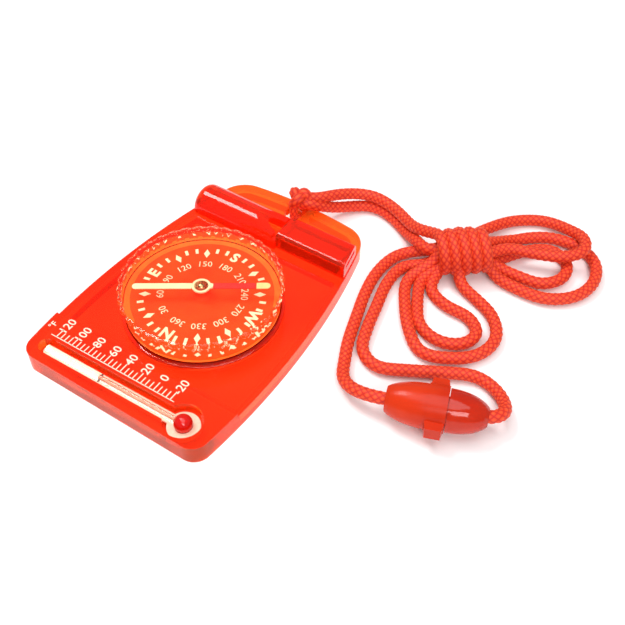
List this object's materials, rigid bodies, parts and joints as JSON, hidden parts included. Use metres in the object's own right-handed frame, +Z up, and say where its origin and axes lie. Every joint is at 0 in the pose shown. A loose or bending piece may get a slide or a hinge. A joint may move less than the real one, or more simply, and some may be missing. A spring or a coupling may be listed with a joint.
{
  "type": "baseplate compass",
  "caption": "Small translucent red-orange baseplate compass with a turning fluted capsule, thermometer, transverse whistle and a hanked neck cord with a breakaway clasp.",
  "frame": {"origin": "bottom centre of the plate, on the surface it stands on", "axes": "+Y along the plate towards the whistle, +X to the whistle's mouth, +Z up"},
  "size_m": [0.1014, 0.1103, 0.0126],
  "materials": {
    "plate_plastic": "translucent red-orange, polished",
    "capsule_plastic": "clear with an orange tint, polished",
    "dial": "orange-red with printed cream marks",
    "card": "cream-white card",
    "glass": "clear",
    "spirit": "red liquid",
    "bulb": "red glass",
    "steel": "bright",
    "brass": "polished",
    "needle_cream": "painted cream",
    "needle_red": "painted red",
    "needle_tip": "pale green luminous paint",
    "cord": "braided polyester",
    "clasp_plastic": "moulded, satin to glossy"
  },
  "bodies": {
    "plate": {"baseplate": "plate_plastic", "whistle_tube": "plate_plastic", "whistle_mouthpiece": "plate_plastic", "fipple_block": "plate_plastic", "thermometer_card": "card", "thermometer_stem": "glass", "thermometer_spirit": "spirit", "thermometer_bulb": "bulb", "lanyard_knot": "cord", "lanyard_lead_a": "cord", "lanyard_lead_b": "cord", "lanyard_bundle": "cord", "lanyard_loop_r1": "cord", "lanyard_loop_r2": "cord", "lanyard_loop_r3": "cord", "lanyard_loop_l1": "cord", "lanyard_loop_l2": "cord", "lanyard_loop_l3": "cord", "lanyard_loop_l4": "cord", "clasp_plug": "clasp_plastic"},
    "bezel": {"capsule_cup": "capsule_plastic", "capsule_retainer": "plate_plastic", "dial_disc": "dial", "bezel_ring": "capsule_plastic", "capsule_lens": "capsule_plastic", "pivot_post": "capsule_plastic", "pivot_pin": "steel"},
    "needle": {"needle_north": "needle_cream", "needle_south": "needle_red", "needle_tip": "needle_tip", "needle_hub": "needle_cream", "needle_cap": "brass"},
    "clasp_half": {"clasp_socket": "clasp_plastic", "clasp_collar": "clasp_plastic"}
  },
  "joints": [
    {"name": "bezel_turn", "type": "hinge", "parent": "plate", "child": "bezel", "pos_m": [0, -0.004, 0.005], "axis": [0, 0, 1], "continuous": true},
    {"name": "needle_swing", "type": "hinge", "parent": "bezel", "child": "needle", "pos_m": [0, -0.004, 0.0095], "axis": [0, 0, 1], "continuous": true},
    {"name": "clasp_release", "type": "slide", "parent": "plate", "child": "clasp_half", "axis": [-0.9379, -0.3469, 0], "range_m": [0, 0.0028]}
  ]
}
